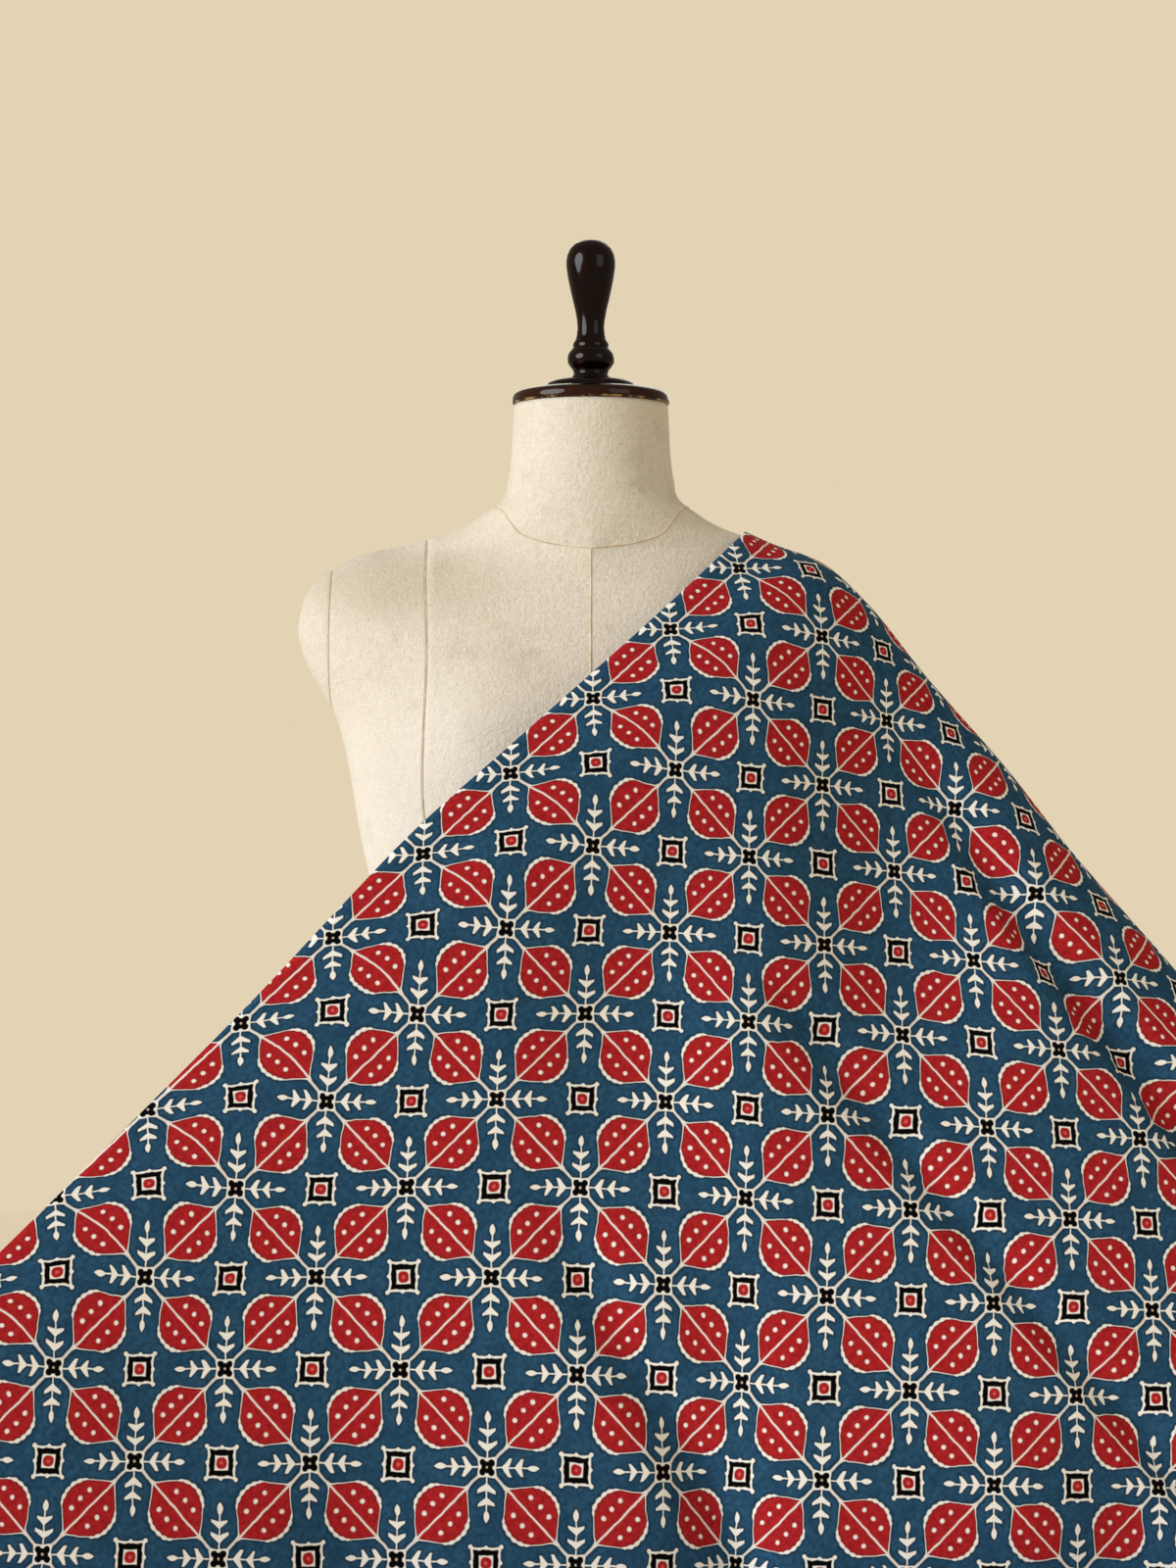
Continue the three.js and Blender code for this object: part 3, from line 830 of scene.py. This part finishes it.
def box_motif(x, y):
    """The box half way between two stars: its parts from outside in."""
    side = 1.0 - x
    point = (BOX_POINT_HALF_WIDTH - y).max(0.0) * BOX_POINT_SLOPE
    flare = y.step(BOX_FLARE_START, BOX_FLARE_FULL) * BOX_FLARE
    knob = KNOB_RADIUS - distance(side - KNOB_PLACE, y - KNOB_PLACE)
    outer = (BOX_HALF + point + flare - side).max(knob)
    black = BOX_BLACK_HALF + (y * BOX_RIPPLE_TURNS).sin() * BOX_RIPPLE - side
    reach = distance(side, y)
    red = BOX_RED_RADIUS - reach + side * y * BOX_RED_CORNERS
    return outer, black, BOX_CREAM_HALF - side, red, BOX_EYE_RADIUS - reach


# Dyes, each from where it took least to where it took most
BLUE_DYE = colour(31, 69, 99), colour(53, 97, 130)
BLUE_CLOUD = colour(30, 65, 94)
BLUE_EDGE = colour(16, 42, 64)
CREAM_DYE = colour(253, 254, 243), colour(255, 255, 255)
RED_DYE = colour(158, 28, 34), colour(190, 44, 48)
RED_EDGE = colour(128, 14, 24)
BLACK_DYE = colour(2, 2, 3), colour(7, 6, 9)
FLOWER_EYE = colour(226, 204, 180)
BOX_EYE = colour(216, 96, 92)
RED_EDGE_WIDTH = 0.022
BLUE_EDGE_REACH = (-0.036, -0.004)

# The cotton's noises, as scale, detail and roughness, and its weave, as scales for each block
DYE_CLOUDS = (5.0, 4.0, 0.6)
DYE_MOTTLING = (22.0, 3.0, 0.65)
THREADS, SLUBS, WEAVE = 190.0, 9.0, 760.0


def printed_cotton():
    tree = Tree("printed_cotton")
    place = tree.place_in_print()
    u, v, _ = tree.split(place)
    cloudy = tree.noise(place, *DYE_CLOUDS)
    mottled = tree.noise(place, *DYE_MOTTLING)
    warp = tree.noise(tree.vector(u * THREADS, v * SLUBS), 1.0)
    weft = tree.noise(tree.vector(u * SLUBS, v * THREADS, 7.0), 1.0)
    threads = (warp + weft) * 0.5
    dye = (mottled * 0.6 + threads * 0.4).step(0.34, 0.66)
    cream, red, black = (tree.mix(dye, *pair) for pair in (CREAM_DYE, RED_DYE, BLACK_DYE))

    x, y = star_place(tree)
    leaf, leaf_red, marks = leaf_motif(tree, x, y)
    star, flower, flower_eye = star_motif(x, y)
    box, box_black, box_cream, box_red, box_eye = box_motif(x, y)
    printed = leaf.max(star).max(sprig_motif(x, y)).max(box)

    blue = tree.mix(cloudy.step(0.38, 0.66) * 0.5, tree.mix(dye, *BLUE_DYE), BLUE_CLOUD)
    painted = tree.mix(printed.step(*BLUE_EDGE_REACH) * 0.7, blue, BLUE_EDGE)
    edged_red = tree.mix(leaf_red.step(0.0, RED_EDGE_WIDTH), RED_EDGE, red)
    layers = (
        (printed, cream), (leaf_red, edged_red), (marks.min(leaf_red), cream),
        (flower, black), (flower_eye, FLOWER_EYE), (box_black, black),
        (box_cream, cream), (box_red, red), (box_eye, BOX_EYE),
    )
    for motif, ink in layers:
        painted = tree.mix(motif.step(-DYE_SOFTNESS, DYE_SOFTNESS), painted, ink)

    weave = (u * WEAVE).sin() * (v * WEAVE).sin()
    normal = tree.bump(weave * 0.5 + threads, 0.25, 0.0004)
    return tree.finish(painted, 0.88, Normal=normal, Specular_IOR_Level=0.06)


# Colours of the canvas, among them painted light and painted shade, and where it is marked, in
# metres
CANVAS_LOW, CANVAS_HIGH = colour(228, 220, 202), colour(243, 237, 223)
CANVAS_FLEECE = colour(208, 197, 174)
CANVAS_CLOUD = colour(221, 210, 186)
CANVAS_STAIN = colour(200, 192, 174)
# Near white for the painted light on the lower canvas
CANVAS_PAINTED_LIGHT = colour(255, 253, 247)
# A darker colour for the top of each shoulder
CANVAS_SHOULDER_DARK = colour(196, 182, 156)
# Painted shade along the princess seam's groove, and a painted highlight on its raised edge
SEAM_SHADOW = colour(142, 112, 78)
SEAM_PAINTED_HIGHLIGHT = colour(250, 246, 236)
# Painted shade in the arm seams' grooves
CREASE_SHADE = colour(158, 130, 96)
# The lower canvas is painted lighter, as painted light, below these heights
PAINTED_LIGHT_BELOW, PAINTED_LIGHT_FADE = 0.46, 0.6
# Where the top of each shoulder is darker: x, z, half width and half height
SHOULDER_DARK_X, SHOULDER_DARK_Z, SHOULDER_DARK_HALF, SHOULDER_DARK_RISE = 0.125, 0.622, 0.085, 0.03
NECK_JOIN = 0.655
# Edges of the painted shade along each arm seam
CREASE_SHADE_EDGE = (0.0002, 0.0013)
# Edges of the princess seam's painted shade and of its raised edge with a painted highlight, from
# the seam
SHADOW_EDGES = (-0.0001, 0.0004), (0.0007, 0.0015)
LIGHT_EDGES = (-0.009, -0.0012), (-0.0004, 0.0009)

# The canvas's noises, as scale, detail and roughness, and its weave, as scales for each metre
FLEECE_NOISE = (420.0, 4.0, 0.7)
SLUB_NOISE = (130.0, 3.0, 0.6)
CLOUD_NOISE = (14.0, 4.0, 0.6)
STAIN_NOISE = (24.0, 4.0, 0.65)
CANVAS_THREADS, CANVAS_SLUBS = 1100.0, 160.0


def off_princess_seam(tree, x, z):
    """How far a place is outside the princess seam, in metres."""
    shape = [(height / NECK_TOP, reach / ARM_SEAM_X) for height, reach in PRINCESS_SEAM]
    shape = [(0, shape[0][1])] + shape[1:] + [(1, shape[-1][1])]
    return x.abs() - tree.curve(z / (NECK_TOP * MM), shape) * (ARM_SEAM_X * MM)


def form_canvas():
    tree = Tree("form_canvas")
    place = tree.object_place()
    x, y, z = tree.split(place)
    fleece = tree.noise(place, *FLEECE_NOISE)
    slub = tree.noise(place, *SLUB_NOISE)
    cloudy = tree.noise(place, *CLOUD_NOISE)
    stained = tree.noise(place, *STAIN_NOISE)
    slow, fast = ([axis * scale for axis in (x, y, z)] for scale in (CANVAS_SLUBS, CANVAS_THREADS))
    level = tree.noise(tree.vector(slow[0], slow[1], fast[2]), 1.0)
    upright = tree.noise(tree.vector(fast[0], fast[1], slow[2]), 1.0)
    weave = (level + upright) * 0.5

    # painted light: the lower canvas is lightened towards near white
    painted_light_low = 1.0 - z.step(PAINTED_LIGHT_BELOW, PAINTED_LIGHT_FADE)
    # darker on the top of each shoulder
    to_shoulder_dark = distance((x.abs() - SHOULDER_DARK_X) / SHOULDER_DARK_HALF, (z - SHOULDER_DARK_Z) / SHOULDER_DARK_RISE)
    shoulder_dark = 1.0 - to_shoulder_dark.step(0.2, 1.3)
    below_neck = 1.0 - z.step(NECK_JOIN - MM, NECK_JOIN + MM)
    off_seam = off_princess_seam(tree, x, z)
    # painted shade in the princess seam's groove, and a painted highlight on the raised edge
    # beside it, which is also bumped
    shadow = off_seam.between(*SHADOW_EDGES) * below_neck
    raised_with_painted_highlight = off_seam.between(*LIGHT_EDGES) * below_neck
    # painted shade along each arm seam's groove
    crease_shade = 1.0 - (x.abs() - ARM_SEAM_X * MM).abs().step(*CREASE_SHADE_EDGE)
    base = tree.mix(weave.step(0.3, 0.7), CANVAS_LOW, CANVAS_HIGH)
    marks = (
        (fleece.step(0.48, 0.75) * 0.4, CANVAS_FLEECE),
        (cloudy.step(0.42, 0.72) * 0.38, CANVAS_CLOUD),
        (stained.step(0.56, 0.7) * 0.4, CANVAS_STAIN),
        (painted_light_low * 0.36, CANVAS_PAINTED_LIGHT), (shoulder_dark * 0.5, CANVAS_SHOULDER_DARK),
        (shadow * 0.7, SEAM_SHADOW), (raised_with_painted_highlight * 0.5, SEAM_PAINTED_HIGHLIGHT),
        (crease_shade * 0.3, CREASE_SHADE),
    )
    for share, tint in marks:
        base = tree.mix(share, base, tint)

    normal = None
    for height, strength, depth in ((weave, 0.4, 0.0006), (fleece, 0.6, 0.0018),
                                    (slub, 0.4, 0.0016), (raised_with_painted_highlight, 0.5, 0.001)):
        normal = tree.bump(height, strength, depth, normal)
    return tree.finish(base, 0.92, Normal=normal, Specular_IOR_Level=0.2, Sheen_Weight=0.15)


def seam_thread():
    tree = Tree("seam_thread")
    worn = tree.noise(tree.object_place(), 90.0, 3.0, 0.6)
    base = tree.mix(worn.step(0.35, 0.65), colour(204, 182, 148), colour(228, 214, 188))
    return tree.finish(base, 0.9)


# Where the cap's edge is brown, partly worn wood and partly a painted sheen, and where its lower
# rim is worn, in metres
BROWN_WEAR_AND_SHEEN = (0.7432, 0.7436), (0.749, 0.7515)
WORN_RIM = (0.7432, 0.7436), (0.7444, 0.745)

# The wood's noises, as scale, detail and roughness, and its grain, as scales for each metre
WOOD_WEAR = (70.0, 3.0, 0.6)
WOOD_SCRATCHES = (240.0, 3.0, 0.6)
GRAIN_ACROSS, GRAIN_ALONG = 160.0, 14.0


def lacquered_wood():
    tree = Tree("lacquered_wood")
    place = tree.object_place()
    x, y, z = tree.split(place)
    fibres = tree.vector(x * GRAIN_ACROSS, y * GRAIN_ACROSS, z * GRAIN_ALONG)
    grain = tree.noise(fibres, 1.0, 4.0, 0.6)
    worn = tree.noise(place, *WOOD_WEAR).step(0.46, 0.56)
    scratches = tree.noise(place, *WOOD_SCRATCHES)
    # the cap's edge: partly worn wood and partly a painted sheen
    edge = z.between(*BROWN_WEAR_AND_SHEEN)
    rim = z.between(*WORN_RIM) * worn
    base = tree.mix(grain.step(0.4, 0.75), colour(6, 2, 2), colour(28, 6, 5))
    base = tree.mix(edge * 0.7, base, colour(52, 24, 14))
    base = tree.mix(rim * 0.7, base, colour(186, 150, 96))
    return tree.finish(
        base, scratches.step(0.2, 0.9) * 0.14 + 0.14, Normal=tree.bump(grain, 0.06, 0.0005),
        Specular_IOR_Level=0.04, Coat_Weight=0.4, Coat_Roughness=0.04)


def stage_material():
    tree = Tree("pale_floor")
    cloudy = tree.noise(tree.object_place(), 3.0, 4.0)
    return tree.finish(tree.mix(cloudy, colour(248, 236, 211), colour(254, 243, 219)), 0.8)


# Camera, floor and light
def set_camera():
    data = bpy.data.cameras.new("camera")
    data.lens = LENS
    data.sensor_width = SENSOR
    camera = bpy.data.objects.new("camera", data)
    camera.location = Vector(CAMERA_PLACE) * MM
    camera.rotation_euler = (math.pi / 2, 0, 0)
    bpy.context.scene.collection.objects.link(camera)
    bpy.context.scene.camera = camera


def set_floor():
    bpy.ops.mesh.primitive_circle_add(vertices=FLOOR_SIDES, radius=FLOOR_RADIUS, fill_type="NGON")
    floor = bpy.context.object
    floor.name = "floor"
    floor.data.materials.append(stage_material())


def set_sky():
    """A warm sky that lights the part, and an even colour where the camera sees it."""
    world = bpy.data.worlds.new("studio")
    bpy.context.scene.world = world
    world.use_nodes = True
    nodes, links = world.node_tree.nodes, world.node_tree.links
    sky, seen = nodes["Background"], nodes.new("ShaderNodeBackground")
    choose, rays = nodes.new("ShaderNodeMixShader"), nodes.new("ShaderNodeLightPath")
    sky.inputs["Color"].default_value = colour(240, 221, 190)
    sky.inputs["Strength"].default_value = SKY_STRENGTH
    seen.inputs["Color"].default_value = colour(227, 211, 180)
    links.new(rays.outputs["Is Camera Ray"], choose.inputs[0])
    links.new(sky.outputs[0], choose.inputs[1])
    links.new(seen.outputs[0], choose.inputs[2])
    links.new(choose.outputs[0], nodes["World Output"].inputs["Surface"])


def add_light(name, kind, power, tint, place, target=(0, 0, 0)):
    """A light that points from its place at its target."""
    data = bpy.data.lights.new(name, kind)
    data.energy = power
    data.color = tint
    light = bpy.data.objects.new(name, data)
    light.location = place
    light.rotation_euler = (Vector(target) - Vector(place)).to_track_quat("-Z", "Y").to_euler()
    bpy.context.scene.collection.objects.link(light)
    return data


def set_lights():
    set_sky()
    window = add_light("window", "SUN", WINDOW_STRENGTH, WINDOW_TINT, WINDOW_PLACE)
    window.angle = WINDOW_SPREAD
    for name, place, target, side, power in AREA_LIGHTS:
        light = add_light(name, "AREA", power, AREA_TINT, place, target)
        light.size = side
    bpy.context.scene.view_settings.view_transform = "Standard"


def dress(piece, material, slot, *nodes):
    """Gives a piece its material and the solids that it stands for; its slot is not used."""
    piece.data.materials.append(material)
    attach(piece, "root")
    if nodes:
        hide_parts(*nodes)


set_camera()
set_floor()
set_lights()

canvas = form_canvas()
torso = cut_form("torso_canvas", -ARM_SEAM_X, ARM_SEAM_X)
left_stump = cut_form("arm_stump_left_canvas", None, -ARM_SEAM_X - SEAM_GAP)
right_stump = cut_form("arm_stump_right_canvas", ARM_SEAM_X + SEAM_GAP, None)
for piece, node in ((torso, "torso"), (left_stump, "arm_stump_left"),
                    (right_stump, "arm_stump_right")):
    dress(piece, canvas, "form_canvas", node)

seams = seam_piece()
dress(seams, seam_thread(), "form_canvas")

wood = lacquered_wood()
cap = turned_piece("turned_cap", CAP_PROFILE)
dress(cap, wood, "lacquered_wood", "neck_cap")
knob = turned_piece("turned_finial", FINIAL_PROFILE)
dress(knob, wood, "lacquered_wood", "finial")

cloth = cloth_piece()
dress(cloth, printed_cotton(), "printed_cotton", "cloth")
